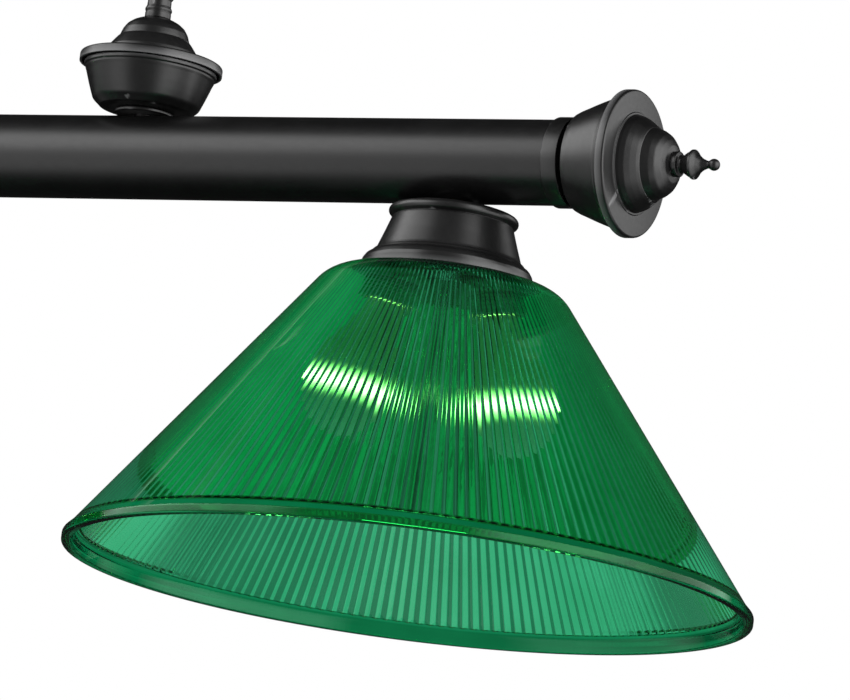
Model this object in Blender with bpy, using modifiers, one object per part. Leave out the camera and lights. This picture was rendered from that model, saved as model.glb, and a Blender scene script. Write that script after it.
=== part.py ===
"""Three-shade pool table lamp that hangs on two short chains.

Frame: metres, +Z up, +X along the bar. The origin lies in the ceiling plane, midway between the two canopies.
Sizes below are in millimetres and are turned into metres where the meshes and places are made.
"""

import math

import bpy
from mathutils import Matrix, Vector

MM = 0.001
GAP = 0.35  # clearance between pieces that rest on each other
FINE, MEDIUM, COARSE = 24, 14, 12  # steps of the turned pieces

# Plan of the lamp
SHADE_SPACING = 580.0
HANGER_X = 388.4
FLANGE_X = SHADE_SPACING + 100.1  # front face of the end cover's rim
SIDES = {"left": -1, "right": 1}
LIGHTS = {"left": -SHADE_SPACING, "centre": 0.0, "right": SHADE_SPACING}

# Bar
TUBE_R = 22.15
TUBE_WALL = 1.6
TUBE_HALF = FLANGE_X - 40.5  # it ends inside the collar
STEM_R = 4.8  # threaded stems of the loops and the nipples
STEM_HOLE_R = 5.4
NUT_R = 9.0
NECK_R = 6.9  # shoulder of a loop, which bears on the piece under it

# Chain and loops: the wire's radius, and sizes along its centre line
LINK_WIRE_R = 2.2
LINK_BOW_R = 9.5
LINK_LENGTH = 36.0
LINKS = 4
LOOP_WIRE_R = 3.2
LOOP_R = 11.0
CANOPY_LOOP_Z = -62.0  # centre of the wire at the bottom of the ceiling loop
HANGER_LOOP_Z = 97.5  # centre of the ring above the bar's axis

# Ceiling pieces
STRAP_LENGTH, STRAP_WIDTH, STRAP_THICK = 108.0, 18.0, 2.4
STRAP_SCREW_X, STRAP_SCREW_R = 44.45, 2.4
CANOPY_R, CANOPY_DEPTH = 63.5, 26.0
COLLAR_R, COLLAR_BOTTOM_Z = 10.0, -33.0
SHEET = 1.2  # spun sheet steel

# Cup and cover, used upright on the hangers and lying on the bar's ends
RIM_R, RIM_DEPTH = 38.0, 4.6
CUP_MOUTH_R, CUP_FOOT_R, CUP_DEPTH = 35.0, 25.8, 30.2
DOME_HEIGHT = 22.3
HANGER_RIM_Z = 53.0  # top face of the hanger cover's rim above the bar's axis
WASHER_R, WASHER_TOP_Z = 16.0, 24.9
STEM_BOTTOM_Z = 12.5  # lower end of the hanger's stem, inside the bar

# Light, measured down from the bar's axis
FITTER_TOP_Z = -22.6
SHADE_TOP_Z, SHADE_BOTTOM_Z = -63.6, -224.0
SHADE_HOLE_R, SHADE_RIM_R, SHADE_WALL = 20.6, 178.0, 3.4
SOCKET_R, SOCKET_BORE_R = 19.6, 14.6
SOCKET_TOP_Z, SOCKET_BOTTOM_Z = -36.0, -84.0
RING_R = 29.0
BULB_R, BULB_BOTTOM_Z = 30.0, -158.0
WIRE_Z, WIRE_R, DROP_R = -12.0, 2.4, 2.0

# Heights that the chain gives
HOOK = 2 * LINK_WIRE_R + GAP  # from one link's lower wire up to the next link's upper wire
LOOP_HOOK = LINK_WIRE_R + LOOP_WIRE_R + GAP
LINK_TOPS = [CANOPY_LOOP_Z + LOOP_HOOK - i * (LINK_LENGTH - HOOK) for i in range(LINKS)]
LINK_BOTTOMS = [top - LINK_LENGTH for top in LINK_TOPS]
BAR_Z = LINK_BOTTOMS[-1] + LOOP_HOOK - LOOP_R - HANGER_LOOP_Z

POLE = math.pi / 2


def clear_scene():
    for obj in list(bpy.data.objects):
        bpy.data.objects.remove(obj, do_unlink=True)


def collection(name):
    made = bpy.data.collections.new(name)
    bpy.context.scene.collection.children.link(made)
    return made


def material(name, colour, roughness, metallic=0.0, transmission=0.0):
    made = bpy.data.materials.new(name)
    made.use_nodes = True
    shader = made.node_tree.nodes["Principled BSDF"]
    shader.inputs["Base Color"].default_value = (*colour, 1.0)
    shader.inputs["Roughness"].default_value = roughness
    shader.inputs["Metallic"].default_value = metallic
    shader.inputs["Transmission Weight"].default_value = transmission
    made.diffuse_color = (*colour, 1.0)
    return made


clear_scene()
LAMP = collection("pool_table_lamp")
CUTTERS = collection("cutters")
BLACK = material("satin_black_steel", (0.012, 0.012, 0.013), 0.38, metallic=0.4)
GREEN = material("green_acrylic", (0.004, 0.27, 0.055), 0.12, transmission=0.7)
ZINC = material("zinc_plated_steel", (0.55, 0.55, 0.56), 0.35, metallic=1.0)
BRASS = material("brass_thread", (0.62, 0.44, 0.18), 0.35, metallic=1.0)
THERMOSET = material("white_thermoset", (0.72, 0.71, 0.66), 0.3)
GLASS = material("frosted_glass", (0.95, 0.93, 0.88), 0.3)
ALUMINIUM = material("aluminium_cap", (0.75, 0.75, 0.75), 0.3, metallic=1.0)
INSULATION = material("wire_insulation", (0.03, 0.03, 0.03), 0.5)


# Placing pieces. Every place is measured from the lamp's origin; a pivot is an empty on a joint's axis.


def pivot(name, at, parent=None):
    empty = bpy.data.objects.new(name, None)
    empty.empty_display_size = 30 * MM
    LAMP.objects.link(empty)
    place(empty, at, parent)
    return empty


def place(obj, at, parent=None, turn=(0.0, 0.0, 0.0)):
    obj.location = Vector(at) * MM
    obj.rotation_euler = turn
    if parent:
        obj.parent = parent
        obj.matrix_parent_inverse = Matrix.Translation(-Vector(parent["at"]) * MM)
    obj["at"] = tuple(at)


def mesh_piece(name, mesh, look, into=None):
    obj = bpy.data.objects.new(name, mesh)
    (into or LAMP).objects.link(obj)
    if look:
        mesh.materials.append(look)
    return obj


# Shapes


def arc(centre_r, centre_z, radius, start, end, count):
    """Points (r, z) on an arc, from the start angle to the end angle in degrees."""
    angles = [math.radians(start + (end - start) * i / count) for i in range(count + 1)]
    return [(centre_r + radius * math.cos(a), centre_z + radius * math.sin(a)) for a in angles]


def turned(name, profile, look, steps=MEDIUM, ring=False, wall=0.0, into=None):
    """A turned piece about +Z. The profile of (radius, height) runs down the outer side.

    A ring's profile is a closed loop. With a wall, the profile is a sheet's outer face.
    """
    mesh = bpy.data.meshes.new(name)
    points = [(r * MM, 0.0, z * MM) for r, z in profile]
    edges = [(i, i + 1) for i in range(len(points) - 1)]
    if ring:
        edges.append((len(points) - 1, 0))
    mesh.from_pydata(points, edges, [])
    obj = mesh_piece(name, mesh, look, into)
    screw = obj.modifiers.new("turn", "SCREW")
    screw.steps = screw.render_steps = steps
    screw.use_merge_vertices = True
    screw.merge_threshold = 1e-5
    screw.use_smooth_shade = True
    if wall:
        solidify = obj.modifiers.new("wall", "SOLIDIFY")
        solidify.thickness = wall * MM
        solidify.offset = -1.0
        solidify.use_even_offset = True
    return obj


def cylinder(name, radius, length, steps=MEDIUM):
    """A helper cylinder about +Z, centred on its middle, for cutting and joining."""
    half = length / 2
    profile = [(0, half), (radius, half), (radius, -half), (0, -half)]
    obj = turned(name, profile, None, steps, into=CUTTERS)
    obj.hide_render = True
    obj.display_type = "WIRE"
    return obj


def boolean(obj, other, operation):
    modifier = obj.modifiers.new(other.name, "BOOLEAN")
    modifier.operation = operation
    modifier.object = other


def wire(name, centre_line, radius, look, closed=False):
    """A bent wire, centred on the points of its centre line in millimetres."""
    curve = bpy.data.curves.new(name, "CURVE")
    curve.dimensions = "3D"
    curve.bevel_depth = radius * MM
    curve.bevel_resolution = 1
    curve.use_fill_caps = True
    spline = curve.splines.new("POLY")
    spline.points.add(len(centre_line) - 1)
    for point, place_mm in zip(spline.points, centre_line):
        point.co = (*(Vector(place_mm) * MM), 1.0)
    spline.use_cyclic_u = closed
    curve.materials.append(look)
    obj = bpy.data.objects.new(name, curve)
    LAMP.objects.link(obj)
    return obj


# Ceiling pieces


def ceiling_strap(side, x):
    """Flat steel strap that the ceiling's screws hold, with a hole for the loop's stem."""
    curve = bpy.data.curves.new(f"ceiling_strap_{side}", "CURVE")
    curve.dimensions = "2D"
    curve.fill_mode = "BOTH"
    curve.extrude = STRAP_THICK / 2 * MM
    half_x, half_y = STRAP_LENGTH / 2, STRAP_WIDTH / 2
    outline = [(-half_x, -half_y), (half_x, -half_y), (half_x, half_y), (-half_x, half_y)]
    holes = [(0.0, STEM_HOLE_R), (-STRAP_SCREW_X, STRAP_SCREW_R), (STRAP_SCREW_X, STRAP_SCREW_R)]
    outlines = [outline]
    for hole_x, radius in holes:
        turns = [2 * math.pi * i / COARSE for i in range(COARSE)]
        outlines.append([(hole_x + radius * math.cos(a), radius * math.sin(a)) for a in turns])
    for points in outlines:
        spline = curve.splines.new("POLY")
        spline.points.add(len(points) - 1)
        spline.use_cyclic_u = True
        for point, (px, py) in zip(spline.points, points):
            point.co = (px * MM, py * MM, 0.0, 1.0)
    curve.materials.append(ZINC)
    obj = bpy.data.objects.new(f"ceiling_strap_{side}", curve)
    LAMP.objects.link(obj)
    place(obj, (x, 0, -STRAP_THICK / 2))


def canopy(side, x):
    """Spun ceiling canopy: a rim, a shallow slope and a flat round the stem's hole."""
    flat_r = 13.0
    profile = [(CANOPY_R, -0.5), (CANOPY_R, -4.5), (CANOPY_R - 7.0, -9.5), (30.0, -18.0)]
    profile += [(flat_r, -CANOPY_DEPTH), (STEM_HOLE_R, -CANOPY_DEPTH)]
    obj = turned(f"canopy_{side}", profile, BLACK, wall=SHEET)
    place(obj, (x, 0, 0))


def canopy_collar(side, x):
    """Ring nut on the loop's thread that holds the canopy up."""
    top, bottom, edge = -CANOPY_DEPTH - GAP, COLLAR_BOTTOM_Z, 1.2
    profile = [(STEM_HOLE_R, top), (COLLAR_R - edge, top), (COLLAR_R, top - edge)]
    profile += [(COLLAR_R, bottom + edge), (COLLAR_R - edge, bottom), (STEM_HOLE_R, bottom)]
    obj = turned(f"canopy_collar_{side}", profile, BLACK, COARSE, ring=True)
    place(obj, (x, 0, 0))


def ring_eye(name, at, turn):
    """Helper ring of a hanging loop, turned upright, for joining to its stem."""
    bpy.ops.mesh.primitive_torus_add(
        major_radius=LOOP_R * MM,
        minor_radius=LOOP_WIRE_R * MM,
        major_segments=COARSE,
        minor_segments=6,
    )
    ring = bpy.context.object
    ring.name = name
    for owner in list(ring.users_collection):
        owner.objects.unlink(ring)
    CUTTERS.objects.link(ring)
    ring.hide_render = True
    ring.display_type = "WIRE"
    place(ring, at, turn=turn)
    return ring


def canopy_loop(side, x):
    """Loop under the canopy: a threaded stem up through the strap and a ring that lies along the bar."""
    shoulder = COLLAR_BOTTOM_Z - GAP
    ring_z = CANOPY_LOOP_Z + LOOP_R
    stem_top, waist_r, neck_bottom = -0.6, 5.4, ring_z + LOOP_R - 1.0
    profile = [(0, stem_top), (STEM_R, stem_top), (STEM_R, shoulder), (NECK_R, shoulder)]
    profile += [(NECK_R, shoulder - 2.5), (waist_r, shoulder - 3.5), (waist_r, neck_bottom), (0, neck_bottom)]
    stem = turned(f"canopy_loop_{side}", profile, BLACK, COARSE)
    place(stem, (x, 0, 0))
    boolean(stem, ring_eye(f"canopy_ring_{side}", (x, 0, ring_z), (POLE, 0, 0)), "UNION")


# Chain


def link_outline():
    """Centre line of one link in the XZ plane, hanging from z = 0 down to -LINK_LENGTH."""
    bows = 6
    straight = LINK_LENGTH - 2 * LINK_BOW_R
    upper = arc(0, -LINK_BOW_R, LINK_BOW_R, 0, 180, bows)
    lower = arc(0, -LINK_BOW_R - straight, LINK_BOW_R, 180, 360, bows)
    return [(x, 0, z) for x, z in upper + lower]


def chain_link(side, x, index, parent):
    """One link. The first and third lie across the bar, the second and fourth along it."""
    obj = wire(f"chain_link_{side}_{index + 1}", link_outline(), LINK_WIRE_R, BLACK, closed=True)
    turn = (0, 0, POLE) if index % 2 == 0 else (0, 0, 0)
    place(obj, (x, 0, LINK_TOPS[index]), parent, turn)


# Cup and cover


def cup_side():
    """The cup's outer side from its mouth down to its foot, as (radius, depth below the rim's face)."""
    return [(CUP_MOUTH_R, RIM_DEPTH + 0.3), (31.6, 15.7), (28.4, 24.0), (CUP_FOOT_R, CUP_DEPTH)]


def cover_profile():
    """Cover: hole for the stem, stepped dome, flat, and the rolled rim, with height 0 on the rim's face."""
    dome = [(STEM_HOLE_R, DOME_HEIGHT), (11.5, 20.9), (17.4, 15.0), (18.7, 11.0), (24.2, 4.5), (25.4, 0.0)]
    return dome + [(RIM_R, 0.0), (RIM_R, -RIM_DEPTH)]


# Bar and what closes its ends


def bar_tube(parent):
    inner = TUBE_R - TUBE_WALL
    profile = [(TUBE_R, TUBE_HALF), (TUBE_R, -TUBE_HALF), (inner, -TUBE_HALF), (inner, TUBE_HALF)]
    obj = turned("bar_tube", profile, BLACK, ring=True)
    place(obj, (0, 0, BAR_Z), parent, (0, POLE, 0))
    for name, x, z in hole_places():
        cutter = cylinder(f"hole_{name}", STEM_HOLE_R, TUBE_R, COARSE)
        place(cutter, (x, 0, BAR_Z + z))
        boolean(obj, cutter, "DIFFERENCE")


def hole_places():
    hangers = [(f"hanger_{side}", sign * HANGER_X, TUBE_R) for side, sign in SIDES.items()]
    return hangers + [(f"light_{where}", x, -TUBE_R) for where, x in LIGHTS.items()]


def end_piece(name, side, sign, parent, **shape):
    """A piece turned about the bar's axis, with height 0 on the end cover's face and height outwards."""
    obj = turned(f"{name}_{side}", **shape)
    place(obj, (sign * FLANGE_X, 0, BAR_Z), parent, (0, sign * POLE, 0))


def end_collar(side, sign, parent):
    inner, outer = TUBE_R + GAP + 0.1, 23.5
    near, far = -34.1, -43.1
    profile = [(inner, near), (outer, near), (outer, far), (inner, far)]
    end_piece("end_collar", side, sign, parent, profile=profile, look=BLACK, ring=True)


def end_bell(side, sign, parent):
    """Cup with its foot turned in to a neck, which plugs the tube and leaves a groove before the collar."""
    neck_r, foot, neck_end = 18.0, -31.0, -45.0
    profile = [(r, -depth) for r, depth in cup_side()]
    profile += [(CUP_FOOT_R - 1.4, foot), (neck_r, foot), (neck_r, neck_end)]
    end_piece("end_bell", side, sign, parent, profile=profile, look=BLACK, wall=SHEET)


def end_cover(side, sign, parent):
    end_piece("end_cover", side, sign, parent, profile=cover_profile(), look=BLACK, wall=SHEET)


def end_stud(side, sign, parent):
    """Plug welded in the tube's end, with the threaded stud that the finial screws on to."""
    plug_r, plug_near, plug_far = 19.9, -47.0, -50.0
    stud_r, tip = 2.6, DOME_HEIGHT + 8.0
    profile = [(0, tip), (stud_r, tip), (stud_r, plug_near), (plug_r, plug_near), (plug_r, plug_far)]
    profile.append((0, plug_far))
    end_piece("end_stud", side, sign, parent, profile=profile, look=ZINC)


def end_finial(side, sign, parent):
    """Turned finial: base ring, neck, bell, waist and ball, with a threaded bore from below."""
    base = DOME_HEIGHT + GAP
    bore_r, bore_top = 3.1, base + 9.0
    ball_z, ball_r = base + 21.8, 3.1
    profile = [(0, ball_z + ball_r)] + arc(0, ball_z, ball_r, 45, -45, 2)
    profile += [(2.1, base + 16.6), (3.9, base + 12.6), (7.7, base + 10.2), (4.4, base + 3.8)]
    profile += [(6.6, base + 2.6), (6.6, base), (bore_r, base), (bore_r, bore_top), (0, bore_top)]
    obj = turned(f"end_finial_{side}", profile, BLACK, COARSE)
    axis = pivot(f"finial_axis_{side}", (sign * FLANGE_X, 0, BAR_Z), parent)
    place(obj, (sign * FLANGE_X, 0, BAR_Z), axis, (0, sign * POLE, 0))


# Hangers


def hanger_piece(name, side, sign, parent, **shape):
    """A piece turned about a hanger's upright axis, with height 0 on the bar's axis."""
    obj = turned(f"{name}_{side}", **shape)
    place(obj, (sign * HANGER_X, 0, BAR_Z), parent)
    return obj


def hanger_washer(side, sign, parent):
    top, bottom = WASHER_TOP_Z, TUBE_R + GAP
    profile = [(STEM_HOLE_R, top), (WASHER_R - 0.6, top), (WASHER_R, top - 0.8), (WASHER_R, bottom)]
    profile.append((STEM_HOLE_R, bottom))
    hanger_piece("hanger_washer", side, sign, parent, profile=profile, look=BLACK, ring=True)


def hanger_cup(side, sign, parent):
    """The same cup as on the bar's ends, upright, with its foot drawn in to the stem's hole."""
    foot_z = WASHER_TOP_Z + GAP
    profile = [(r, HANGER_RIM_Z - depth) for r, depth in cup_side()[:-1]]
    profile += [(CUP_FOOT_R, foot_z + 1.8), (24.2, foot_z + 0.6), (22.0, foot_z), (STEM_HOLE_R, foot_z)]
    hanger_piece("hanger_cup", side, sign, parent, profile=profile, look=BLACK, wall=SHEET)


def hanger_cover(side, sign, parent):
    profile = [(r, HANGER_RIM_Z + z) for r, z in cover_profile()]
    hanger_piece("hanger_cover", side, sign, parent, profile=profile, look=BLACK, wall=SHEET)


def hanger_locknut(side, sign, parent):
    top, bottom = 17.9, 13.5
    profile = [(STEM_HOLE_R, top), (NUT_R, top), (NUT_R, bottom), (STEM_HOLE_R, bottom)]
    hanger_piece("hanger_locknut", side, sign, parent, profile=profile, look=ZINC, steps=COARSE, ring=True)


def hanger_loop(side, sign, parent):
    """Threaded stem from inside the bar up through the cup and cover, a moulded neck and the ring."""
    shoulder = HANGER_RIM_Z + DOME_HEIGHT + GAP
    neck = [(NECK_R, shoulder), (NECK_R, shoulder + 2.9), (7.3, shoulder + 4.6), (6.6, shoulder + 6.4)]
    top = HANGER_LOOP_Z - LOOP_R + 1.0
    profile = [(0, top), (5.6, top), (6.4, top - 2.0)] + neck[::-1]
    profile += [(STEM_R, shoulder), (STEM_R, STEM_BOTTOM_Z), (0, STEM_BOTTOM_Z)]
    stem = hanger_piece("hanger_loop", side, sign, parent, profile=profile, look=BLACK, steps=COARSE)
    ring_at = (sign * HANGER_X, 0, BAR_Z + HANGER_LOOP_Z)
    boolean(stem, ring_eye(f"hanger_ring_{side}", ring_at, (0, POLE, 0)), "UNION")


# Lights


def light_piece(name, where, x, parent, **shape):
    """A piece turned about a light's upright axis, with height 0 on the bar's axis."""
    obj = turned(f"{name}_{where}", **shape)
    place(obj, (x, 0, BAR_Z), parent)
    return obj


def fitter(where, x, parent):
    """Spun shade holder: raised seat, beaded shoulder, flared cup and flanged rim."""
    profile = [(STEM_HOLE_R, FITTER_TOP_Z), (11.0, FITTER_TOP_Z), (12.0, -26.9), (31.5, -26.9)]
    profile += [(33.7, -30.1), (31.1, -33.2), (38.4, -52.8), (44.0, -56.6), (44.4, SHADE_TOP_Z + GAP)]
    light_piece("fitter", where, x, parent, profile=profile, look=BLACK, wall=SHEET)


def fitter_nipple(where, x, parent):
    """Hollow threaded nipple with its head inside the bar; it holds the fitter and the socket."""
    bore, head_r = 3.4, 8.0
    head_top, head_bottom, bottom = -15.0, -18.2, -42.0
    profile = [(bore, head_top), (head_r, head_top), (head_r, head_bottom), (STEM_R, head_bottom)]
    profile += [(STEM_R, bottom), (bore, bottom)]
    light_piece("fitter_nipple", where, x, parent, profile=profile, look=BRASS, steps=COARSE, ring=True)


def socket(where, x, parent):
    """Lamp holder: a neck on the nipple, a shoulder and a threaded skirt that takes the shade ring."""
    cavity_z = -52.0
    profile = [(STEM_HOLE_R, SOCKET_TOP_Z), (9.0, SOCKET_TOP_Z), (9.0, -40.0), (17.0, -42.0)]
    profile += [(SOCKET_R, -46.0), (SOCKET_R, SOCKET_BOTTOM_Z), (SOCKET_BORE_R, SOCKET_BOTTOM_Z)]
    profile += [(SOCKET_BORE_R, cavity_z), (STEM_HOLE_R, cavity_z)]
    light_piece("socket", where, x, parent, profile=profile, look=THERMOSET, ring=True)


def shade(where, x, parent):
    """Conical shade: flat top round the socket, rounded shoulder, straight cone and upright rim band."""
    shoulder_r, cone_start = 21.0, 38.0
    centre_r, centre_z = 49.3, SHADE_TOP_Z - shoulder_r
    profile = [(SHADE_HOLE_R, SHADE_TOP_Z)]
    profile += arc(centre_r, centre_z, shoulder_r, 90, cone_start, 3)
    band = 6.0
    profile += [(SHADE_RIM_R - 1.6, SHADE_BOTTOM_Z + band), (SHADE_RIM_R, SHADE_BOTTOM_Z + band - 2.0)]
    profile.append((SHADE_RIM_R, SHADE_BOTTOM_Z))
    light_piece("shade", where, x, parent, profile=profile, look=GREEN, steps=FINE, wall=SHADE_WALL)


def shade_ring(where, x, parent):
    """Threaded ring that turns on the socket's skirt and clamps the shade under the fitter."""
    inner = SOCKET_R + 0.8
    top, bottom = SHADE_TOP_Z - SHADE_WALL - GAP, -73.0
    profile = [(inner, top), (RING_R, top), (RING_R, bottom + 0.8), (RING_R - 0.8, bottom), (inner, bottom)]
    axis = pivot(f"ring_axis_{where}", (x, 0, BAR_Z), parent)
    light_piece("shade_ring", where, x, axis, profile=profile, look=THERMOSET, ring=True)


def bulb(where, x, parent):
    """Screw cap and glass envelope, which turn together in the socket."""
    cap_r, cap_bottom = 13.1, SOCKET_BOTTOM_Z
    cap = [(0, -57.0), (4.5, -57.0), (10.5, -61.5), (cap_r, -64.0), (cap_r, cap_bottom)]
    cap.append((0, cap_bottom))
    axis = pivot(f"bulb_axis_{where}", (x, 0, BAR_Z), parent)
    light_piece("bulb_cap", where, x, axis, profile=cap, look=ALUMINIUM)
    glass = [(13.2, cap_bottom - GAP), (14.0, -92.0), (21.6, -106.5)]
    glass += arc(0, BULB_BOTTOM_Z + BULB_R, BULB_R, 20, -90, 4)
    light_piece("bulb_glass", where, x, axis, profile=glass, look=GLASS, wall=1.0)


def wiring_harness(parent):
    """Wires along the inside of the bar, with a drop through each nipple into its socket."""
    run = 2 * (SHADE_SPACING + 3.0)
    profile = [(0, run / 2), (WIRE_R, run / 2), (WIRE_R, -run / 2), (0, -run / 2)]
    obj = turned("wiring_harness", profile, INSULATION, 8)
    place(obj, (0, 0, BAR_Z + WIRE_Z), parent, (0, POLE, 0))
    drop_bottom = -54.0
    for where, x in LIGHTS.items():
        drop = cylinder(f"drop_{where}", DROP_R, WIRE_Z - drop_bottom, 8)
        place(drop, (x, 0, BAR_Z + (WIRE_Z + drop_bottom) / 2))
        boolean(obj, drop, "UNION")


# The lamp, from the ceiling down


def build_ceiling():
    for side, sign in SIDES.items():
        x = sign * HANGER_X
        for make in (ceiling_strap, canopy, canopy_collar, canopy_loop):
            make(side, x)


def build_chains():
    """Links on their pivots: the whole lamp swings across, the chains sway along, and the bar tilts."""
    swing = pivot("swing_axis", (0, 0, CANOPY_LOOP_Z))
    sway = {}
    for side, sign in SIDES.items():
        x = sign * HANGER_X
        chain_link(side, x, 0, swing)
        sway[side] = pivot(f"sway_axis_{side}", (x, 0, LINK_BOTTOMS[0]), swing)
        chain_link(side, x, 1, sway[side])
        chain_link(side, x, 2, sway[side])
    level = pivot("level_axis", (-HANGER_X, 0, LINK_BOTTOMS[2]), sway["left"])
    for side, sign in SIDES.items():
        chain_link(side, sign * HANGER_X, 3, level)
    return pivot("tilt_axis", (0, 0, LINK_BOTTOMS[3]), level)


def build_bar(parent):
    bar_tube(parent)
    wiring_harness(parent)
    ends = (end_collar, end_bell, end_cover, end_stud, end_finial)
    hangers = (hanger_washer, hanger_cup, hanger_cover, hanger_locknut, hanger_loop)
    for side, sign in SIDES.items():
        for make in ends + hangers:
            make(side, sign, parent)


def build_lights(parent):
    for where, x in LIGHTS.items():
        for make in (fitter, fitter_nipple, socket, shade, shade_ring, bulb):
            make(where, x, parent)


build_ceiling()
tilt_axis = build_chains()
build_bar(tilt_axis)
build_lights(tilt_axis)
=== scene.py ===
"""Looks of the three-shade pool table lamp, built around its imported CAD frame."""

import math

import bmesh
import bpy
from mathutils import Matrix, Vector


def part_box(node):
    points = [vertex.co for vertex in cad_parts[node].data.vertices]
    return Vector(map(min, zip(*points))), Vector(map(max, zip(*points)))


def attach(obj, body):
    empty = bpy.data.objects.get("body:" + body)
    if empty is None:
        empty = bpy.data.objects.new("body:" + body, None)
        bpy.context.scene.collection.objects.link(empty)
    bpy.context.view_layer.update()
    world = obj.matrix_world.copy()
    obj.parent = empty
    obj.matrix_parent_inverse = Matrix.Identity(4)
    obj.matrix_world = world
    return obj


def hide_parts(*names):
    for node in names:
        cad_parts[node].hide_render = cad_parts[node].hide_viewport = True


MM = 0.001
FINE, ROUND, SMALL = 160, 96, 48  # steps of the turned pieces
SMOOTH_UNDER, RIB_SMOOTH_UNDER = 32.0, 36.0  # degrees between faces that still shade as one surface
UPRIGHT = Matrix.Identity(4)

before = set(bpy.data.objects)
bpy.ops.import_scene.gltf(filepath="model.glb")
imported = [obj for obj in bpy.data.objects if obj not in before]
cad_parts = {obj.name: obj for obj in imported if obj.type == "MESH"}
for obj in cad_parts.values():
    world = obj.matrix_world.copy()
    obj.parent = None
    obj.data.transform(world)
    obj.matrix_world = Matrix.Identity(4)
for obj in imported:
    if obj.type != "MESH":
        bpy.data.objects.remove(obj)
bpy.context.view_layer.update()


def middle(node):
    low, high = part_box(node)
    return (low + high) / 2


SIDES = {"left": -1, "right": 1}
LIGHTS = ("left", "centre", "right")
COVER_R, RIM_DEPTH = 38.0, 4.6  # of the covers and their rolled rims, in millimetres

# Places, read from the frame, in metres.
BAR_Z = middle("bar_tube").z
TUBE_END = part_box("bar_tube")[1].x
LIGHT_X = {where: middle(f"shade_{where}").x for where in LIGHTS}
HANGER_X = {side: middle(f"hanger_cup_{side}").x for side in SIDES}
FLANGE_X = {
    "left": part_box("end_cover_left")[1].x - RIM_DEPTH * MM,
    "right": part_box("end_cover_right")[0].x + RIM_DEPTH * MM,
}

# Sizes in millimetres. Heights are from the bar's axis.
TUBE_R = (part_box("bar_tube")[1].z - BAR_Z) / MM
SHEET, TUBE_WALL = 1.2, 1.6
STEM_R, NECK_R, STEM_HOLE_R = 4.8, 6.9, 5.4  # of the loops' stems, and of the holes that they pass through
WIRE_R, LOOP_WIRE_R = 2.2, 3.2  # wire of the links, and of the rings that they hook through
LINK_BOW_R, LINK_LENGTH = 9.5, 36.0  # of a link's centre line
SOCKET_R, CAP_R = 19.6, 13.1
SOCKET_BOTTOM_Z = -84.0
BULB_Z, BULB_R = -128.0, 30.0
SHADE_TOP, SHADE_BOTTOM, RIM_R = -63.6, -224.0, 178.0
SHADE_HOLE_R, SHADE_WALL = 20.6, 2.3  # the wall is measured from the valleys between the ribs
SHOULDER_R, SHOULDER_BEND = 49.3, 21.0  # where the shade's shoulder is centred, and its radius
CONE_LEAN = math.radians(37.1)  # of the inner face's normal under the horizontal
RIBS = 180
RIB_SLOPE = math.tan(math.radians(35))
RIB_ROUND = 0.09  # share of the pitch on each side of a crest or a valley that is rounded
RIB_END_Z = -214.5
GLOW_DEPTH, GLOW_REACH = 133.0, 11.0  # the bulb's bright band: depth under the axis, and half height


# ---------------------------------------------------------------- shapes


def fillet(points, closed=False, segments=5):
    """Outline points (r, z) or (r, z, radius); a corner with a radius is rounded."""
    count = len(points)
    out = []
    for i, point in enumerate(points):
        here = Vector(point[:2])
        radius = point[2] if len(point) > 2 else 0.0
        if radius <= 0 or (not closed and i in (0, count - 1)):
            out.append(tuple(here))
            continue
        before = Vector(points[i - 1][:2]) - here
        after = Vector(points[(i + 1) % count][:2]) - here
        half = before.angle(after) / 2
        cut = min(radius / math.tan(half), 0.48 * before.length, 0.48 * after.length)
        radius = cut * math.tan(half)
        start = here + before.normalized() * cut
        end = here + after.normalized() * cut
        bisector = (before.normalized() + after.normalized()).normalized()
        centre = here + bisector * radius / math.sin(half)
        for k in range(segments + 1):
            chord = (start - centre).normalized().slerp((end - centre).normalized(), k / segments)
            out.append(tuple(centre + chord.normalized() * radius))
    return out


def arc(centre_r, centre_z, radius, start, end, count=8):
    angles = [math.radians(start + (end - start) * i / count) for i in range(count + 1)]
    return [(centre_r + radius * math.cos(a), centre_z + radius * math.sin(a)) for a in angles]


def finish_mesh(bm, name, sharp=SMOOTH_UNDER):
    bmesh.ops.remove_doubles(bm, verts=bm.verts, dist=1e-6)
    bmesh.ops.recalc_face_normals(bm, faces=bm.faces)
    mesh = bpy.data.meshes.new(name)
    bm.to_mesh(mesh)
    bm.free()
    mesh.shade_smooth()
    mesh.set_sharp_from_angle(angle=math.radians(sharp))
    return mesh


def lathe(name, outline, steps=ROUND, closed=False):
    """A mesh turned about +Z from an outline of (radius, height) in millimetres."""
    points = fillet(outline, closed)
    bm = bmesh.new()
    verts = [bm.verts.new((r * MM, 0, z * MM)) for r, z in points]
    pairs = list(zip(verts, verts[1:])) + ([(verts[-1], verts[0])] if closed else [])
    edges = [bm.edges.new(pair) for pair in pairs]
    bmesh.ops.spin(
        bm, geom=verts + edges, cent=(0, 0, 0), axis=(0, 0, 1), angle=math.tau, steps=steps, use_merge=True
    )
    return finish_mesh(bm, name)


def sheet_outline(points):
    """Closed outline of a spun sheet: its outer face, then the same face moved inwards by its thickness."""
    face = [Vector(p[:2]) for p in fillet(points)]
    inner = []
    for i, point in enumerate(face):
        ahead = face[min(i + 1, len(face) - 1)] - face[max(i - 1, 0)]
        normal = Vector((-ahead.y, ahead.x)).normalized()
        inner.append(tuple(point - normal * SHEET))
    return [tuple(p) for p in face] + inner[::-1]


def piece(name, mesh, body, look, node, at, turn=UPRIGHT):
    """A named object that rides a body of the frame in place of one CAD node."""
    obj = bpy.data.objects.new(name, mesh)
    bpy.context.scene.collection.objects.link(obj)
    mesh.materials.clear()
    mesh.materials.append(look)
    obj.matrix_world = Matrix.Translation(Vector(at)) @ turn
    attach(obj, body)
    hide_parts(node)
    return obj


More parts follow.
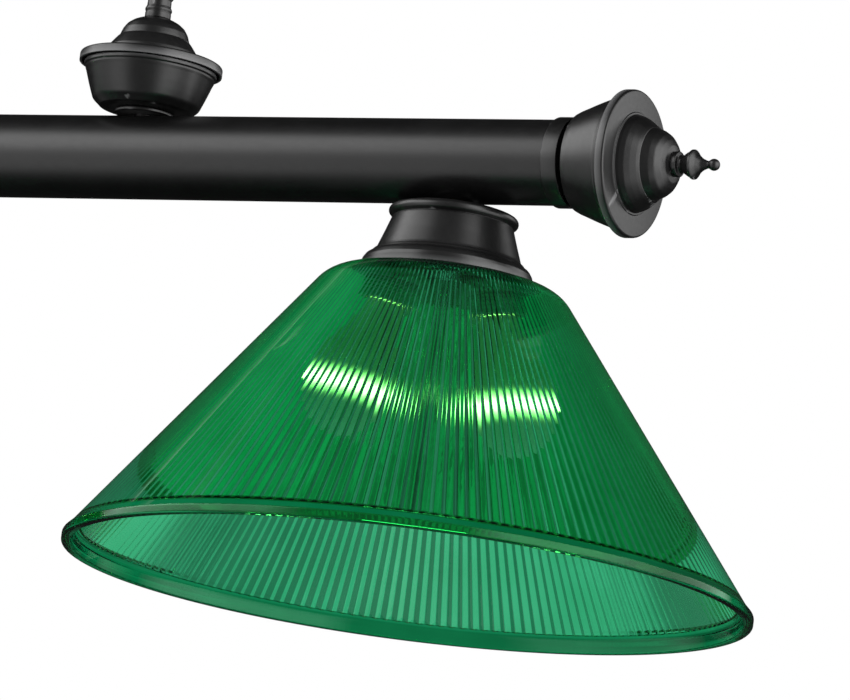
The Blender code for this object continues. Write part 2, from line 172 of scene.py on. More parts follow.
# ---------------------------------------------------------------- materials


def new_material(name):
    made = bpy.data.materials.new(name)
    made.use_nodes = True
    return made, made.node_tree.nodes, made.node_tree.links, made.node_tree.nodes["Principled BSDF"]


def noise(nodes, links, scale, detail=3.0, roughness=0.5, stretch=None):
    """A noise texture in object space, its scale in cells per metre."""
    coords = nodes.new("ShaderNodeTexCoord")
    texture = nodes.new("ShaderNodeTexNoise")
    texture.inputs["Scale"].default_value = scale
    texture.inputs["Detail"].default_value = detail
    texture.inputs["Roughness"].default_value = roughness
    if stretch:
        mapping = nodes.new("ShaderNodeMapping")
        mapping.inputs["Scale"].default_value = stretch
        links.new(coords.outputs["Object"], mapping.inputs["Vector"])
        links.new(mapping.outputs["Vector"], texture.inputs["Vector"])
    else:
        links.new(coords.outputs["Object"], texture.inputs["Vector"])
    return texture.outputs["Fac"]


def ramp(nodes, links, value, low, high, start=0.35, end=0.65):
    """A value between start and end, spread from one number or colour to another."""
    made = nodes.new("ShaderNodeMapRange" if isinstance(low, float) else "ShaderNodeValToRGB")
    if isinstance(low, float):
        for key, number in zip(("From Min", "From Max", "To Min", "To Max"), (start, end, low, high)):
            made.inputs[key].default_value = number
        links.new(value, made.inputs["Value"])
        return made.outputs["Result"]
    made.color_ramp.elements[0].position, made.color_ramp.elements[0].color = start, (*low, 1)
    made.color_ramp.elements[1].position, made.color_ramp.elements[1].color = end, (*high, 1)
    links.new(value, made.inputs["Fac"])
    return made.outputs["Color"]


def object_height(nodes, links):
    coords = nodes.new("ShaderNodeTexCoord")
    split = nodes.new("ShaderNodeSeparateXYZ")
    links.new(coords.outputs["Object"], split.inputs[0])
    return split.outputs["Z"]


def maths(nodes, links, operation, *values):
    """A math node on numbers or sockets."""
    made = nodes.new("ShaderNodeMath")
    made.operation = operation
    for socket, value in zip(made.inputs, values):
        if isinstance(value, (int, float)):
            socket.default_value = value
        else:
            links.new(value, socket)
    return made.outputs[0]


def bump(nodes, links, shader, value, distance, strength=1.0):
    made = nodes.new("ShaderNodeBump")
    made.inputs["Distance"].default_value = distance
    made.inputs["Strength"].default_value = strength
    links.new(value, made.inputs["Height"])
    links.new(made.outputs["Normal"], shader.inputs["Normal"])


def black_paint():
    """Satin black powder coat: a fine orange peel, small changes of gloss, and lighter convex edges that are
    partly rubbed paint and partly a painted highlight.
    """
    made, nodes, links, shader = new_material("satin_black_powder_coat")
    cloud = noise(nodes, links, 55.0, 4.0)
    base = ramp(nodes, links, cloud, (0.0022, 0.0022, 0.0023), (0.0042, 0.0042, 0.0043))
    # Convex edges turn light grey in the base colour. This is partly paint rubbed thin and partly a painted
    # highlight that stands in for the thin bright lines light draws along edges.
    geometry = nodes.new("ShaderNodeNewGeometry")
    edge = ramp(nodes, links, geometry.outputs["Pointiness"], 0.0, 1.0, 0.53, 0.60)
    rubbed_edge_and_highlight = nodes.new("ShaderNodeMix")
    rubbed_edge_and_highlight.data_type = "RGBA"
    rubbed_edge_and_highlight.inputs[7].default_value = (0.11, 0.11, 0.112, 1)
    links.new(edge, rubbed_edge_and_highlight.inputs[0])
    links.new(base, rubbed_edge_and_highlight.inputs[6])
    links.new(rubbed_edge_and_highlight.outputs[2], shader.inputs["Base Color"])
    fine = noise(nodes, links, 420.0, 2.0)
    links.new(ramp(nodes, links, fine, 0.30, 0.36, 0.3, 0.7), shader.inputs["Roughness"])
    shader.inputs["Specular IOR Level"].default_value = 0.55
    peel = noise(nodes, links, 1500.0, 2.0, 0.6)
    bump(nodes, links, shader, peel, 0.00005, 0.5)
    return made


def green_acrylic():
    """Clear emerald acrylic; the solid rim band under the ribs is thicker, and so deeper in tint."""
    made, nodes, links, shader = new_material("emerald_acrylic")
    haze = noise(nodes, links, 35.0, 3.0)
    body = ramp(nodes, links, haze, (0.055, 0.73, 0.31), (0.070, 0.80, 0.36))
    rim = ramp(nodes, links, haze, (0.003, 0.38, 0.125), (0.006, 0.44, 0.15))
    tint = nodes.new("ShaderNodeMix")
    tint.data_type = "RGBA"
    height = object_height(nodes, links)
    band = ramp(nodes, links, height, 1.0, 0.0, (RIB_END_Z - 0.8) * MM, RIB_END_Z * MM)
    links.new(band, tint.inputs[0])
    links.new(body, tint.inputs[6])
    links.new(rim, tint.inputs[7])
    links.new(tint.outputs[2], shader.inputs["Base Color"])
    links.new(ramp(nodes, links, haze, 0.01, 0.03), shader.inputs["Roughness"])
    shader.inputs["IOR"].default_value = 1.49
    shader.inputs["Specular Tint"].default_value = (0.30, 0.75, 0.50, 1)
    shader.inputs["Transmission Weight"].default_value = 1.0
    bump(nodes, links, shader, noise(nodes, links, 45.0, 2.0), 0.0003, 0.12)
    return made


def bulb_glass():
    """Frosted glass, lit from inside, brightest in a band round the envelope."""
    made, nodes, links, shader = new_material("lit_frosted_glass")
    frost = noise(nodes, links, 900.0, 2.0)
    links.new(ramp(nodes, links, frost, (0.92, 0.9, 0.86), (1.0, 0.98, 0.95)), shader.inputs["Base Color"])
    links.new(ramp(nodes, links, frost, 0.35, 0.5), shader.inputs["Roughness"])
    bump(nodes, links, shader, frost, 0.00004, 0.5)
    shader.inputs["Emission Color"].default_value = (1.0, 0.38, 0.16, 1)
    away = maths(nodes, links, "ADD", object_height(nodes, links), GLOW_DEPTH * MM)
    away = maths(nodes, links, "ABSOLUTE", away)
    core = maths(nodes, links, "POWER", ramp(nodes, links, away, 1.0, 0.0, 0.0, GLOW_REACH * MM), 3.0)
    links.new(ramp(nodes, links, core, 0.12, 46.0, 0.0, 1.0), shader.inputs["Emission Strength"])
    return made


def moulded(name, dark, light, roughness, grain=700.0, depth=0.00006):
    """Moulded plastic with a fine grain."""
    made, nodes, links, shader = new_material(name)
    cloud = noise(nodes, links, 80.0, 4.0)
    links.new(ramp(nodes, links, cloud, dark, light), shader.inputs["Base Color"])
    links.new(ramp(nodes, links, cloud, roughness - 0.05, roughness + 0.08), shader.inputs["Roughness"])
    bump(nodes, links, shader, noise(nodes, links, grain, 2.0), depth, 0.6)
    return made


def metal(name, dark, light, roughness, stretch):
    """Plated or turned metal with fine tool marks."""
    made, nodes, links, shader = new_material(name)
    shader.inputs["Metallic"].default_value = 1.0
    marks = noise(nodes, links, 260.0, 5.0, 0.65, stretch)
    links.new(ramp(nodes, links, marks, dark, light), shader.inputs["Base Color"])
    links.new(ramp(nodes, links, marks, roughness - 0.06, roughness + 0.1), shader.inputs["Roughness"])
    bump(nodes, links, shader, marks, 0.00003, 0.4)
    return made


BLACK = black_paint()
GREEN = green_acrylic()
GLASS = bulb_glass()
THERMOSET = moulded("white_thermoset", (0.66, 0.65, 0.60), (0.76, 0.75, 0.71), 0.3)
INSULATION = moulded("wire_insulation", (0.02, 0.02, 0.02), (0.035, 0.035, 0.035), 0.5)
ZINC = metal("zinc_plate", (0.45, 0.45, 0.47), (0.68, 0.68, 0.70), 0.32, (1, 1, 6))
BRASS = metal("turned_brass", (0.50, 0.33, 0.12), (0.72, 0.52, 0.22), 0.3, (1, 1, 9))
CAP_METAL = metal("rolled_aluminium", (0.60, 0.60, 0.60), (0.82, 0.82, 0.82), 0.25, (1, 1, 5))


# ---------------------------------------------------------------- ceiling pieces and chain


def canopy(side):
    x = middle(f"canopy_{side}").x
    radius = (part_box(f"canopy_{side}")[1].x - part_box(f"canopy_{side}")[0].x) / 2 / MM
    outer = [(radius, -0.5), (radius, -4.2, 2.0), (radius - 3.0, -4.8, 1.0), (radius - 7.0, -9.5, 6.0)]
    outer += [(44.0, -14.2, 14.0), (30.0, -18.4, 20.0), (17.0, -24.6, 6.0), (13.0, -26.0, 2.5)]
    outer.append((STEM_HOLE_R, -26.0))
    mesh = lathe(f"canopy_{side}", sheet_outline(outer), ROUND, closed=True)
    piece(f"ceiling_canopy_{side}", mesh, "ceiling", BLACK, f"canopy_{side}", (x, 0, 0))


def knurled(name, outline, body, look, node, at, teeth, depth):
    """A turned ring whose outside is cut by upright grooves."""
    mesh = lathe(name, outline, teeth * 4, closed=True)
    outer = max(p[0] for p in outline) * MM
    for vert in mesh.vertices:
        radius = math.hypot(vert.co.x, vert.co.y)
        if radius > outer - 0.0007:  # the outside face only
            turn = math.atan2(vert.co.y, vert.co.x) / math.tau * teeth
            groove = max(0.0, math.cos(math.tau * turn)) * depth * MM
            vert.co.x *= 1 - groove / radius
            vert.co.y *= 1 - groove / radius
    mesh.set_sharp_from_angle(angle=math.radians(SMOOTH_UNDER))
    return piece(name, mesh, body, look, node, at)


def ring_wire(name, radius, wire, centre, plane):
    """A torus mesh about the given centre; plane is the axis that the ring turns round."""
    bm = bmesh.new()
    around, across = 64, 24
    rows = []
    for i in range(around):
        a = math.tau * i / around
        row = []
        for k in range(across):
            b = math.tau * k / across
            reach = radius + wire * math.cos(b)
            u, v, w = reach * math.cos(a), reach * math.sin(a), wire * math.sin(b)
            local = (u, w, v) if plane == "Y" else (w, u, v)
            row.append(bm.verts.new((Vector(local) + Vector(centre)) * MM))
        rows.append(row)
    for i in range(around):
        for k in range(across):
            corner = (rows[i][k], rows[(i + 1) % around][k])
            bm.faces.new((*corner, rows[(i + 1) % around][(k + 1) % across], rows[i][(k + 1) % across]))
    return finish_mesh(bm, name)


def join_union(name, meshes):
    """One mesh from overlapping closed meshes, joined by a Boolean union."""
    objects = []
    for mesh in meshes:
        obj = bpy.data.objects.new(name, mesh)
        bpy.context.scene.collection.objects.link(obj)
        objects.append(obj)
    for other in objects[1:]:
        modifier = objects[0].modifiers.new("join", "BOOLEAN")
        modifier.operation = "UNION"
        modifier.object = other
    bpy.context.view_layer.update()
    graph = bpy.context.evaluated_depsgraph_get()
    joined = bpy.data.meshes.new_from_object(objects[0].evaluated_get(graph))
    for obj in objects:
        bpy.data.objects.remove(obj)
    joined.name = name
    joined.shade_smooth()
    joined.set_sharp_from_angle(angle=math.radians(SMOOTH_UNDER))
    return joined


def canopy_loop(side):
    low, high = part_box(f"canopy_loop_{side}")
    x = (low.x + high.x) / 2
    ring_r = (high.x - low.x) / 2 / MM - LOOP_WIRE_R
    ring_z = low.z / MM + LOOP_WIRE_R + ring_r
    shoulder, foot = -33.35, ring_z + ring_r - 1.0
    stem = [(0, -0.6), (4.2, -0.6), (STEM_R, -1.2), (STEM_R, shoulder), (NECK_R, shoulder, 0.6)]
    stem += [(NECK_R, shoulder - 2.5, 0.8), (5.4, shoulder - 3.5, 0.8), (5.4, foot, 0.6), (0, foot)]
    meshes = [lathe("stem", stem, SMALL), ring_wire("ring", ring_r, LOOP_WIRE_R, (0, 0, ring_z), "Y")]
    mesh = join_union(f"ceiling_loop_{side}", meshes)
    piece(f"ceiling_loop_{side}", mesh, "ceiling", BLACK, f"canopy_loop_{side}", (x, 0, 0))


def ceiling_set(side):
    canopy(side)
    x = middle(f"canopy_{side}").x
    collar = [(STEM_HOLE_R, -26.35), (9.0, -26.35, 0.5), (10.0, -27.6, 0.5), (10.0, -31.8, 0.5)]
    collar += [(8.6, -33.0, 0.5), (STEM_HOLE_R, -33.0)]
    name, node = f"ceiling_collar_{side}", f"canopy_collar_{side}"
    knurled(name, collar, "ceiling", BLACK, node, (x, 0, 0), 20, 0.5)
    canopy_loop(side)


LINK_BODY = {1: "swing", 2: "chain_{}", 3: "chain_{}", 4: "level"}


def chain_link(side, index):
    """An oval welded link; the wire swells a little at its weld."""
    node = f"chain_link_{side}_{index}"
    across = index % 2 == 1
    width = LINK_BOW_R
    straight = LINK_LENGTH / 2 - width
    bows, runs, sides = 20, 6, 20
    line = arc(0, straight, width, 0, 180, bows)
    line += [(-width, straight - 2 * straight * i / runs) for i in range(1, runs)]
    line += [(-u, -v) for u, v in line[: bows + 1]]
    line += [(width, -straight + 2 * straight * i / runs) for i in range(1, runs)]
    bm = bmesh.new()
    rows = []
    count = len(line)
    for i, (u, v) in enumerate(line):
        ahead = Vector(line[(i + 1) % count]) - Vector(line[i - 1])
        out = Vector((ahead.y, -ahead.x)).normalized()
        weld = 1 + 0.10 * math.exp(-((v / 1.4) ** 2)) * (u > 0)
        row = []
        for k in range(sides):
            b = math.tau * k / sides
            reach = WIRE_R * weld * math.cos(b)
            p, q, w = u + out.x * reach, v + out.y * reach, WIRE_R * weld * math.sin(b)
            row.append(bm.verts.new(Vector((w, p, q) if across else (p, w, q)) * MM))
        rows.append(row)
    for i in range(count):
        for k in range(sides):
            corner = (rows[i][k], rows[(i + 1) % count][k])
            bm.faces.new((*corner, rows[(i + 1) % count][(k + 1) % sides], rows[i][(k + 1) % sides]))
    mesh = finish_mesh(bm, node)
    body = LINK_BODY[index].format(side)
    piece(f"link_{side}_{index}", mesh, body, BLACK, node, middle(node))


# ---------------------------------------------------------------- bar, ends and hangers


def bar_tube():
    inner = TUBE_R - TUBE_WALL
    half = TUBE_END / MM
    outline = [(TUBE_R, half, 0.4), (TUBE_R, -half, 0.4), (inner, -half), (inner, half)]
    mesh = lathe("bar", outline, FINE, closed=True)
    turn = Matrix.Rotation(math.pi / 2, 4, "Y")
    piece("bar", mesh, "bar", BLACK, "bar_tube", (0, 0, BAR_Z), turn)


def cup_outline():
    """The cup's outer side from mouth to foot, as (radius, depth below the cover's face, fillet)."""
    return [
        (35.2, 4.9), (35.2, 6.6, 0.5), (34.4, 7.2, 0.4), (34.3, 8.2, 0.4), (33.7, 9.6, 1.0),
        (31.6, 15.7, 20.0), (30.0, 20.0, 20.0), (28.4, 24.0, 20.0), (27.1, 27.5, 8.0), (25.8, 30.2, 0.7),
    ]


def cover_outline():
    """The cover's face: stem hole, dome, groove, lower dome, flat, and the rolled rim."""
    dome = [(STEM_HOLE_R, 22.3), (7.0, 22.3, 1.0), (9.6, 21.75, 4.0), (12.6, 20.3, 6.0), (15.4, 18.1, 5.0)]
    dome += [(17.3, 15.2, 4.0), (18.2, 12.6, 3.0), (18.6, 11.3, 0.3), (18.9, 11.15, 0.3)]
    lower = [(20.0, 9.9, 6.0), (22.0, 7.3, 8.0), (23.9, 4.6, 4.0), (24.8, 2.2, 2.0), (25.1, 0.6, 0.2)]
    lower += [(25.3, 0.5, 0.2), (26.2, 0.5, 0.4), (26.5, 0.0, 0.2)]
    return dome + lower + [(COVER_R, 0.0, 1.3), (COVER_R, -RIM_DEPTH)]


def turn_out(side):
    """Rotation that takes a turned piece's height along the bar, outwards."""
    return Matrix.Rotation(SIDES[side] * math.pi / 2, 4, "Y")


def end_pieces(side):
    at, turn = (FLANGE_X[side], 0, BAR_Z), turn_out(side)

    def add(name, mesh, node, body="bar"):
        piece(f"{name}_{side}", mesh, body, BLACK, f"{node}_{side}", at, turn)

    collar = [(22.8, -34.1, 0.2), (23.5, -34.1, 0.3), (23.5, -42.6, 0.4), (22.9, -43.1, 0.3)]
    collar += [(22.6, -43.1), (22.6, -39.8), (22.8, -39.6)]
    add("bar_collar", lathe("collar", collar, FINE, closed=True), "end_collar")
    bell = [(p[0], -p[1], *p[2:]) for p in cup_outline()]
    bell += [(24.4, -31.0, 0.5), (18.6, -31.2, 0.8), (18.0, -32.2, 0.8), (18.0, -45.0)]
    add("bar_bell", lathe("bell", sheet_outline(bell), FINE, closed=True), "end_bell")
    add("bar_cover", lathe("cover", sheet_outline(cover_outline()), FINE, closed=True), "end_cover")
    base = 22.65  # height of the finial's foot over the cover's flat face
    finial = [(0, base + 24.9)] + arc(0, base + 21.8, 3.1, 80, -38, 10)
    finial += [(1.9, base + 18.9, 0.8), (2.1, base + 18.0, 2.0), (3.2, base + 15.4, 6.0)]
    finial += [(5.4, base + 12.8, 6.0), (7.2, base + 11.5, 0.4), (7.7, base + 11.0, 0.2)]
    finial += [(7.7, base + 9.9, 0.5), (7.0, base + 9.2, 0.4), (6.2, base + 7.6, 2.0), (4.9, base + 5.6, 2.0)]
    finial += [(4.4, base + 4.2, 1.2), (4.6, base + 3.2, 0.5), (6.6, base + 2.6, 0.5), (6.6, base, 0.4)]
    finial += [(3.1, base), (3.1, base + 9.0), (0, base + 9.0)]
    add("finial", lathe("finial", finial, SMALL), "end_finial", f"finial_{side}")


def hanger_pieces(side):
    at = (HANGER_X[side], 0, BAR_Z)
    face = 53.0  # height of the cover's flat face over the bar's axis

    def add(name, mesh, node):
        piece(f"{name}_{side}", mesh, "bar", BLACK, f"{node}_{side}", at)

    washer = [(STEM_HOLE_R, 24.9), (14.6, 24.9, 0.5), (16.0, 24.0, 0.6)]
    washer += [(16.0, 22.5, 0.4), (STEM_HOLE_R, 22.5)]
    add("saddle_washer", lathe("washer", washer, ROUND, closed=True), "hanger_washer")
    cup = [(p[0], face - p[1], *p[2:]) for p in cup_outline()[:-2]]
    cup += [(26.4, 27.4, 2.5), (24.4, 25.6, 1.2), (21.5, 25.25, 3.0), (STEM_HOLE_R, 25.25)]
    add("hanging_cup", lathe("cup", sheet_outline(cup), FINE, closed=True), "hanger_cup")
    cover = [(p[0], face + p[1], *p[2:]) for p in cover_outline()]
    add("hanging_cover", lathe("cover", sheet_outline(cover), FINE, closed=True), "hanger_cover")
    low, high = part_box(f"hanger_loop_{side}")
    ring_r = (high.y - low.y) / 2 / MM - LOOP_WIRE_R
    ring_z = (high.z - BAR_Z) / MM - LOOP_WIRE_R - ring_r
    foot = 75.65  # height of the neck's foot, on top of the cover's dome
    stem = [(0, ring_z - ring_r + 1.0), (5.6, ring_z - ring_r + 1.0, 0.8), (6.3, ring_z - ring_r - 1.0, 0.8)]
    stem += [(6.4, foot + 6.8, 0.8), (7.3, foot + 4.9, 1.4), (6.7, foot + 3.4, 0.5)]
    stem += [(NECK_R, foot + 2.9, 0.4), (NECK_R, foot, 0.4), (STEM_R, foot), (STEM_R, 12.5), (0, 12.5)]
    meshes = [lathe("stem", stem, SMALL), ring_wire("ring", ring_r, LOOP_WIRE_R, (0, 0, ring_z), "X")]
    add("hanging_loop", join_union(f"hanging_loop_{side}", meshes), "hanger_loop")


# ---------------------------------------------------------------- lights


def shade_rows():
    """Outer face of the shade, then its inner face from rim to hole, as (radius, height, rib share)."""
    shoulder = arc(SHOULDER_R, SHADE_TOP - SHOULDER_BEND, SHOULDER_BEND, 90, 38, 9)
    outer = [(SHADE_HOLE_R, SHADE_TOP, 0), (35.0, SHADE_TOP, 0)] + [(r, z, 0) for r, z in shoulder]
    last_r, last_z = shoulder[-1]
    rim = [(last_r, last_z), (174.6, -216.2, 2.5), (RIM_R, -219.6, 1.6), (RIM_R, SHADE_BOTTOM, 1.3)]
    rim = fillet(rim + [(173.2, SHADE_BOTTOM, 1.0), (171.6, -217.0, 4.0), (168.9, -215.0)])
    steps = 3
    first_r, first_z = rim[1]
    for i in range(1, steps):
        share = i / steps
        outer.append((last_r + (first_r - last_r) * share, last_z + (first_z - last_z) * share, 0))
    rows = outer + [(r, z, 0) for r, z in rim[1:]]
    slope = (first_r - last_r) / (first_z - last_z)

    def inside(z):
        centre_r = last_r + slope * (z - last_z)
        return centre_r - SHADE_WALL / math.cos(CONE_LEAN)

    rows.append((inside(RIB_END_Z - 0.15), RIB_END_Z - 0.15, 0))
    runs = 3
    top_z = last_z - SHADE_WALL * math.sin(CONE_LEAN)
    for i in range(runs + 1):
        z = RIB_END_Z + (top_z - RIB_END_Z) * i / runs
        rows.append((inside(z), z, 1.0))
    under = arc(SHOULDER_R, SHADE_TOP - SHOULDER_BEND, SHOULDER_BEND - SHADE_WALL, 38, 90, 7)[1:]
    for i, (r, z) in enumerate(under):
        rows.append((r, z, 1 - 0.8 * (i + 1) / len(under)))  # the ribs fade over the shoulder
    rows.append((46.0, SHADE_TOP - SHADE_WALL, 0.0))
    rows.append((SHADE_HOLE_R, SHADE_TOP - SHADE_WALL, 0.0))
    return rows


def rib_section():
    """One rib across its pitch: (place, height) pairs of a triangle wave with rounded tips, in pitches."""
    low = RIB_SLOPE * RIB_ROUND
    high = RIB_SLOPE * (0.5 - RIB_ROUND)
    return [
        (0.0, low * 0.45), (RIB_ROUND, low), (0.5 - RIB_ROUND, high),
        (0.5, high + low * 0.55), (0.5 + RIB_ROUND, high), (1.0 - RIB_ROUND, low),
    ]


def shade_mesh(name):
    """The shade: smooth outside and rim, and inside a ring of straight prism ribs with cut ends."""
    section = rib_section()
    bm = bmesh.new()
    rings = []
    for r, z, share in shade_rows():
        ring = []
        pitch = math.tau * r / RIBS
        for rib in range(RIBS):
            for mark, height in section:
                angle = math.tau * (rib + mark) / RIBS
                drop = share * height * pitch
                reach = r - drop * math.cos(CONE_LEAN)
                across, along = reach * math.cos(angle), reach * math.sin(angle)
                ring.append(bm.verts.new(Vector((across, along, z - drop * math.sin(CONE_LEAN))) * MM))
        rings.append(ring)
    count = len(rings[0])
    for upper, lower in zip(rings, rings[1:] + rings[:1]):
        for k in range(count):
            bm.faces.new((upper[k], upper[(k + 1) % count], lower[(k + 1) % count], lower[k]))
    return finish_mesh(bm, name, RIB_SMOOTH_UNDER)


def fitter_outline():
    top = [(STEM_HOLE_R, -22.6), (11.0, -22.6, 0.8), (12.0, -26.0, 0.8), (28.5, -26.4, 1.0)]
    bead = arc(31.2, -29.9, 2.55, 110, -70, 10)
    cone = [(31.0, -32.9, 0.3), (31.6, -33.3, 0.4), (34.7, -42.5, 30.0), (37.6, -50.6, 10.0)]
    flange = [(38.2, -51.8, 0.4), (39.4, -52.2, 0.5), (40.2, -53.6, 0.8), (42.6, -54.9, 3.0)]
    return top + bead + cone + flange + [(44.2, -57.4, 2.0), (44.4, -59.0, 1.0), (44.4, -63.25)]


def threaded(low, high, pitch, depth, radius):
    """Outline points of rounded thread turns on an outer side, from high to low."""
    turns = int((high - low) / pitch)
    out = []
    for i in range(turns):
        z = high - i * pitch
        out += [(radius, z, 0.3), (radius - depth, z - pitch / 2, 0.3)]
    return out


def socket_outline():
    top = [(STEM_HOLE_R, -36.0), (9.0, -36.0, 0.6), (9.0, -40.0, 0.6), (17.0, -42.0, 1.5)]
    skirt = [(SOCKET_R, -46.0, 1.0), (SOCKET_R, -64.0)] + threaded(-82.0, -66.0, 2.0, 0.7, SOCKET_R)
    bore = [(14.6, SOCKET_BOTTOM_Z, 0.5), (14.6, -52.0), (STEM_HOLE_R, -52.0)]
    return top + skirt + [(SOCKET_R, SOCKET_BOTTOM_Z, 0.5)] + bore


def bulb_meshes():
    """The bulb's screw cap and its glass envelope."""
    cap = [(0, -57.0), (4.5, -57.0, 0.6), (4.8, -58.2), (10.2, -61.3, 0.5), (CAP_R - 0.6, -63.6, 0.5)]
    cap += threaded(-82.0, -64.0, 3.0, 0.9, CAP_R) + [(CAP_R, SOCKET_BOTTOM_Z, 0.3), (0, SOCKET_BOTTOM_Z)]
    glass = [(12.0, -84.4), (13.4, -84.4, 0.4), (13.8, -88.0, 6.0), (15.4, -95.5, 20.0), (21.6, -106.5, 30.0)]
    glass += arc(0, BULB_Z, BULB_R, 32, -90, 24)
    return lathe("cap", cap, SMALL), lathe("glass", glass, ROUND)


def light(where):
    at = (LIGHT_X[where], 0, BAR_Z)

    def add(name, mesh, node, body, look, slot):
        return piece(f"{name}_{where}", mesh, body, look, f"{node}_{where}", at)

    fitter = lathe("fitter", sheet_outline(fitter_outline()), FINE, closed=True)
    add("shade_fitter", fitter, "fitter", "bar", BLACK, "black_steel")
    shade = add("ribbed_shade", shade_mesh("shade"), "shade", "bar", GREEN, "green_acrylic")
    weighted = shade.modifiers.new("flat rib sides", "WEIGHTED_NORMAL")
    weighted.keep_sharp = True
    socket = lathe("socket", socket_outline(), ROUND, closed=True)
    add("lamp_holder", socket, "socket", "bar", THERMOSET, "white_thermoset")
    ring = [(20.4, -67.35), (29.0, -67.35, 0.4), (29.0, -72.3, 0.6), (28.0, -73.0, 0.5), (20.4, -73.0, 0.3)]
    name, node = f"clamp_ring_{where}", f"shade_ring_{where}"
    knurled(name, ring, f"ring_{where}", THERMOSET, node, at, 30, 0.7)
    cap, glass = bulb_meshes()
    add("lamp_cap", cap, "bulb_cap", f"bulb_{where}", CAP_METAL, "bulb_cap")
    add("lamp_glass", glass, "bulb_glass", f"bulb_{where}", GLASS, "bulb_glass")


def carried_nodes():
    """CAD nodes whose shape is right as it is get their own finish."""
    looks = {"ceiling_strap": ZINC, "end_stud": ZINC, "hanger_locknut": ZINC, "fitter_nipple": BRASS}
    for name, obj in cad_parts.items():
        look = INSULATION if name == "wiring_harness" else looks.get(name.rsplit("_", 1)[0])
        if look:
            obj.data.materials.clear()
            obj.data.materials.append(look)


# ---------------------------------------------------------------- camera and light

CAMERA_AT = Vector((1.8171, -3.4115, -0.8612))  # from the right-hand shade's axis at the bar's height
CAMERA_YAW, CAMERA_PITCH, CAMERA_ROLL = 28.131, 11.131, 7.344
CAMERA_LENS = 324.84


def add_camera():
    data = bpy.data.cameras.new("camera")
    data.lens = CAMERA_LENS
    data.sensor_width = 36.0
    data.clip_end = 100.0
    camera = bpy.data.objects.new("camera", data)
    bpy.context.scene.collection.objects.link(camera)
    turn = Matrix.Rotation(math.radians(CAMERA_YAW), 4, "Z")
    turn @= Matrix.Rotation(math.radians(90 + CAMERA_PITCH), 4, "X")
    turn @= Matrix.Rotation(math.radians(CAMERA_ROLL), 4, "Z")
    camera.matrix_world = Matrix.Translation(CAMERA_AT + Vector((LIGHT_X["right"], 0, BAR_Z))) @ turn
    bpy.context.scene.camera = camera


def add_overhead():
    """A broad soft light over the lamp, which shows neither in reflections nor through the plastic."""
    data = bpy.data.lights.new("overhead", "AREA")
    data.shape = "RECTANGLE"
    data.size, data.size_y = 2.6, 1.8
    data.energy = 45.0
    overhead = bpy.data.objects.new("overhead", data)
    bpy.context.scene.collection.objects.link(overhead)
    overhead.location = (0, 0, 2.0)
    overhead.visible_glossy = False
    overhead.visible_transmission = False
    overhead.visible_camera = False


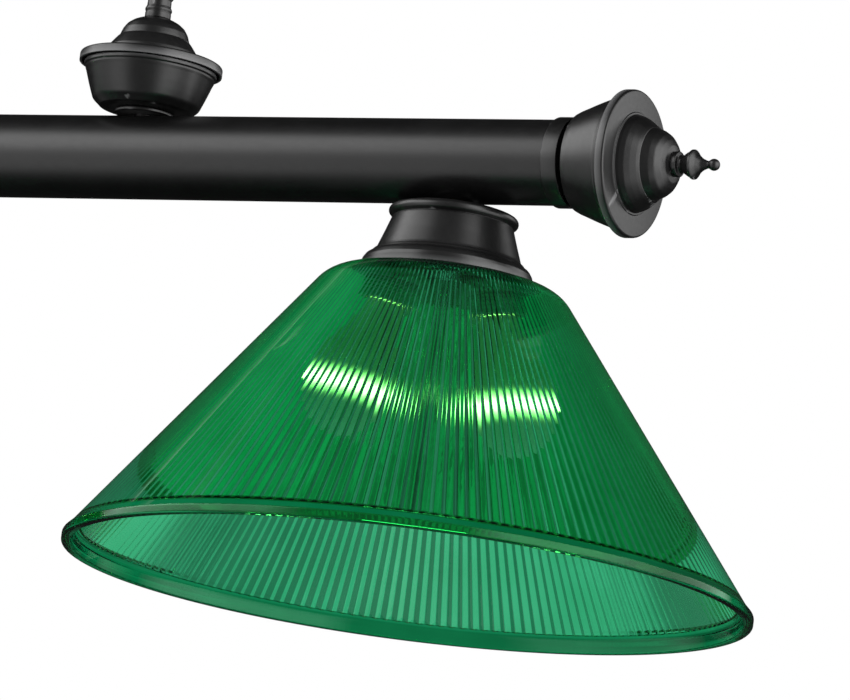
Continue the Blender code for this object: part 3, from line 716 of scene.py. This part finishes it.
def add_world():
    """White to the camera. Reflections see two tall soft panels at the camera's left and right in a dark
    room, and what passes through the plastic sees upright light panels all round the horizon."""
    world = bpy.data.worlds.new("studio")
    bpy.context.scene.world = world
    world.use_nodes = True
    nodes, links = world.node_tree.nodes, world.node_tree.links
    nodes.clear()

    def mixed(factor, first, second):
        made = nodes.new("ShaderNodeMix")
        made.data_type = "FLOAT"
        for index, value in ((0, factor), (2, first), (3, second)):
            if isinstance(value, float):
                made.inputs[index].default_value = value
            else:
                links.new(value, made.inputs[index])
        return made.outputs[0]

    def step(value, start, end, low=0.0, high=1.0):
        return ramp(nodes, links, value, low, high, start, end)

    path = nodes.new("ShaderNodeLightPath")
    coords = nodes.new("ShaderNodeTexCoord")
    turned = nodes.new("ShaderNodeVectorRotate")
    turned.rotation_type = "Z_AXIS"
    turned.inputs["Angle"].default_value = -math.radians(CAMERA_YAW)
    links.new(coords.outputs["Generated"], turned.inputs["Vector"])
    split = nodes.new("ShaderNodeSeparateXYZ")
    links.new(turned.outputs[0], split.inputs[0])
    right, away, up = split.outputs

    def product(first, *others):
        for other in others:
            first = maths(nodes, links, "MULTIPLY", first, other)
        return first

    # Seen in reflections. Side is the angle round from the camera, and up is how steeply the ray climbs.
    toward = maths(nodes, links, "MULTIPLY", away, -1.0)
    side = maths(nodes, links, "ARCTAN2", right, toward)
    left_low = step(side, -1.5, -1.2, 0.6, 1.15)
    left_panel = mixed(step(up, 0.0, 0.24), left_low, 3.2)
    left_panel = product(left_panel, step(side, -2.25, -2.0), step(side, -0.65, -0.9), step(up, 0.79, 0.62))
    right_front = step(up, -0.4, -0.1, 1.6, 3.2)
    right_panel = mixed(step(side, 1.25, 1.6), right_front, 1.8)
    right_panel = product(right_panel, step(side, 0.30, 0.50), step(side, 2.34, 2.2), step(up, 0.80, 0.65))
    right_panel = product(right_panel, mixed(step(side, 1.6, 1.85), 1.0, step(up, -0.12, 0.12)))
    right_panel = product(right_panel, mixed(step(side, 1.7, 1.95), 1.0, step(up, 0.60, 0.42)))
    room = step(toward, -0.2, 0.6, 0.02, 0.26)
    panels_seen = product(maths(nodes, links, "ADD", left_panel, right_panel), step(up, -0.85, -0.6))
    reflected = maths(nodes, links, "ADD", panels_seen, room)

    # Seen through the plastic: six upright panels, dimmer overhead and below.
    turn = maths(nodes, links, "ARCTAN2", away, right)
    wave = maths(nodes, links, "COSINE", maths(nodes, links, "MULTIPLY_ADD", turn, 6.0, math.pi / 2))
    panels = step(wave, -0.6, 0.6, 0.22, 0.52)
    dimming = step(maths(nodes, links, "ABSOLUTE", up), 0.60, 1.0, 1.0, 0.5)
    through = product(panels, dimming)

    inside = step(path.outputs["Transmission Depth"], 0.2, 0.8)
    seen = mixed(inside, reflected, through)
    seen = mixed(path.outputs["Is Camera Ray"], seen, 1.0)
    background = nodes.new("ShaderNodeBackground")
    background.inputs["Color"].default_value = (1, 1, 1, 1)
    links.new(seen, background.inputs["Strength"])
    output = nodes.new("ShaderNodeOutputWorld")
    links.new(background.outputs[0], output.inputs[0])
    bpy.context.scene.view_settings.view_transform = "Standard"


add_camera()
add_overhead()
add_world()
for side_name in SIDES:
    ceiling_set(side_name)
    for link_index in LINK_BODY:
        chain_link(side_name, link_index)
    end_pieces(side_name)
    hanger_pieces(side_name)
bar_tube()
for light_name in LIGHTS:
    light(light_name)
carried_nodes()
